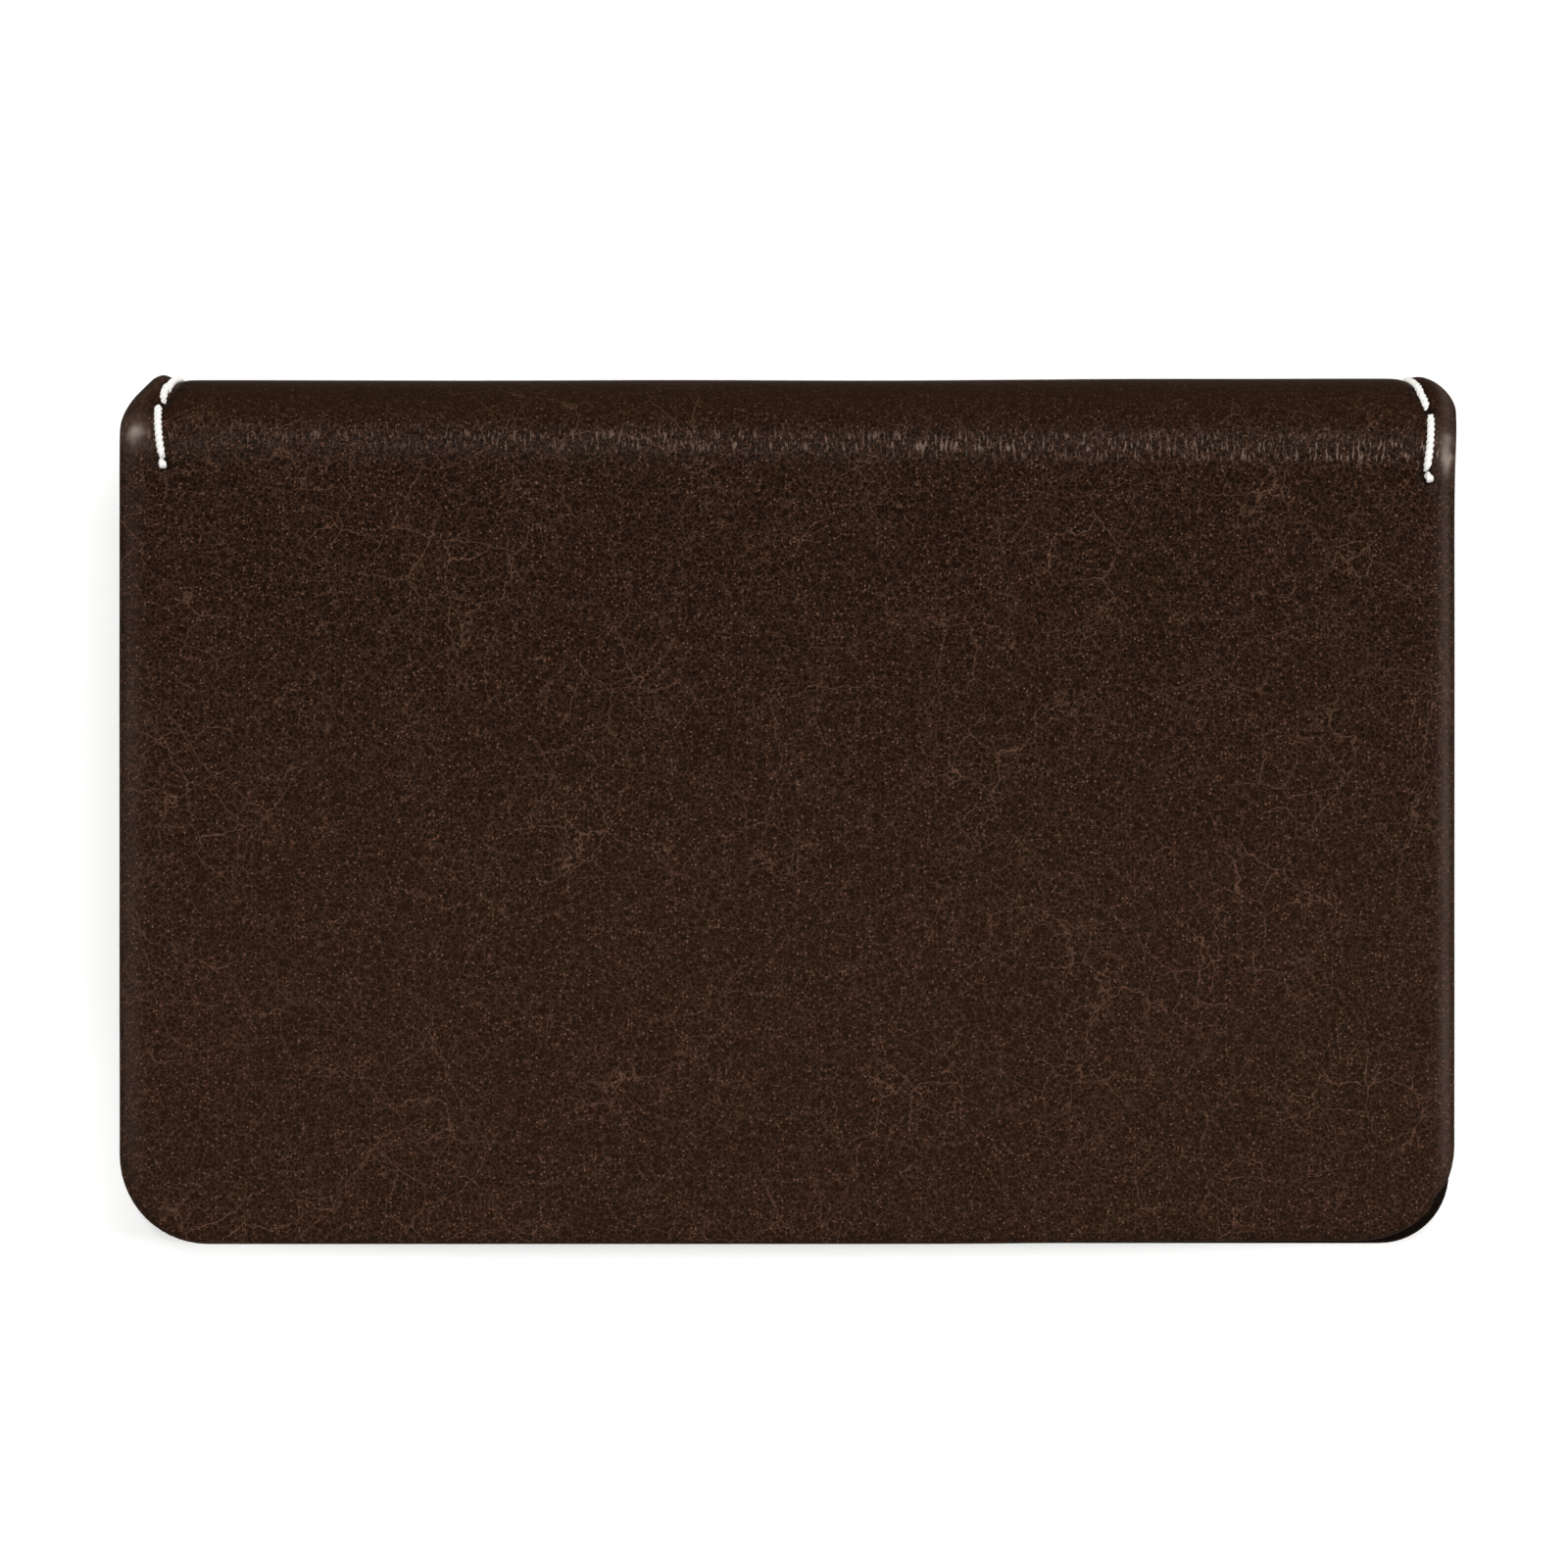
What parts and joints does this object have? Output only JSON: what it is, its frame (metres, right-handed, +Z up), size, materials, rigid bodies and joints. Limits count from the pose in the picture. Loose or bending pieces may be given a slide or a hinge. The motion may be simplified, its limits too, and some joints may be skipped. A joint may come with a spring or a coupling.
{
  "type": "business card case",
  "caption": "Flap-over leather business card case with a rolled spine stitched at its ends, a gusseted card pocket and slip pockets inside.",
  "frame": {"origin": "centre of the closed case's footprint, on the surface that the back cover lies on", "axes": "+X along the spine, +Y towards the spine, +Z up through the flap"},
  "size_m": [0.108, 0.07, 0.0148],
  "materials": {
    "cover_leather": "satin, fine pebble grain",
    "pocket_leather": "satin",
    "lining_leather": "matte",
    "board": "matte",
    "thread": "waxed"
  },
  "bodies": {
    "back": {"cover_back": "cover_leather", "back_board": "board", "back_lining": "lining_leather", "pocket_divider": "pocket_leather", "pocket_bottom_fold": "pocket_leather", "gusset_left": "pocket_leather", "gusset_right": "pocket_leather"},
    "pocket": {"pocket_front": "pocket_leather", "pocket_stitches": "thread"},
    "spine_1": {"cover_spine_1": "cover_leather", "spine_lining_1": "lining_leather", "spine_stitches_1": "thread"},
    "spine_2": {"cover_spine_2": "cover_leather", "spine_lining_2": "lining_leather", "spine_stitches_2": "thread"},
    "spine_3": {"cover_spine_3": "cover_leather", "spine_lining_3": "lining_leather", "spine_stitches_3": "thread"},
    "spine_4": {"cover_spine_4": "cover_leather", "spine_lining_4": "lining_leather", "spine_stitches_4": "thread"},
    "flap": {"cover_flap": "cover_leather", "flap_board": "board", "flap_lining": "lining_leather", "flap_slip_pocket": "pocket_leather", "flap_slip_stitches": "thread"}
  },
  "joints": [
    {"name": "spine_fold_1", "type": "hinge", "parent": "back", "child": "spine_1", "pos_m": [0, 0.02745, 0], "axis": [-1, 0, 0], "range_deg": [0, 22.5]},
    {"name": "spine_fold_2", "type": "hinge", "parent": "spine_1", "child": "spine_2", "pos_m": [0, 0.03258, 0.00212], "axis": [-1, 0, 0], "range_deg": [0, 45]},
    {"name": "spine_fold_3", "type": "hinge", "parent": "spine_2", "child": "spine_3", "pos_m": [0, 0.0347, 0.00725], "axis": [-1, 0, 0], "range_deg": [0, 45]},
    {"name": "spine_fold_4", "type": "hinge", "parent": "spine_3", "child": "spine_4", "pos_m": [0, 0.03258, 0.01238], "axis": [-1, 0, 0], "range_deg": [0, 45]},
    {"name": "spine_fold_5", "type": "hinge", "parent": "spine_4", "child": "flap", "pos_m": [0, 0.02745, 0.0145], "axis": [-1, 0, 0], "range_deg": [0, 22.5]},
    {"name": "pocket_fold", "type": "hinge", "parent": "back", "child": "pocket", "pos_m": [0, -0.028, 0.0095], "axis": [-1, 0, 0], "range_deg": [0, 5.5], "stiffness_Nm_per_rad": 0.25, "springref_deg": -0.57, "deforming": ["gusset_left", "gusset_right"]}
  ],
  "couplings": [
    {"joint": "spine_fold_2", "follows": "spine_fold_1", "ratio": 2},
    {"joint": "spine_fold_3", "follows": "spine_fold_1", "ratio": 2},
    {"joint": "spine_fold_4", "follows": "spine_fold_1", "ratio": 2},
    {"joint": "spine_fold_5", "follows": "spine_fold_1", "ratio": 1}
  ]
}
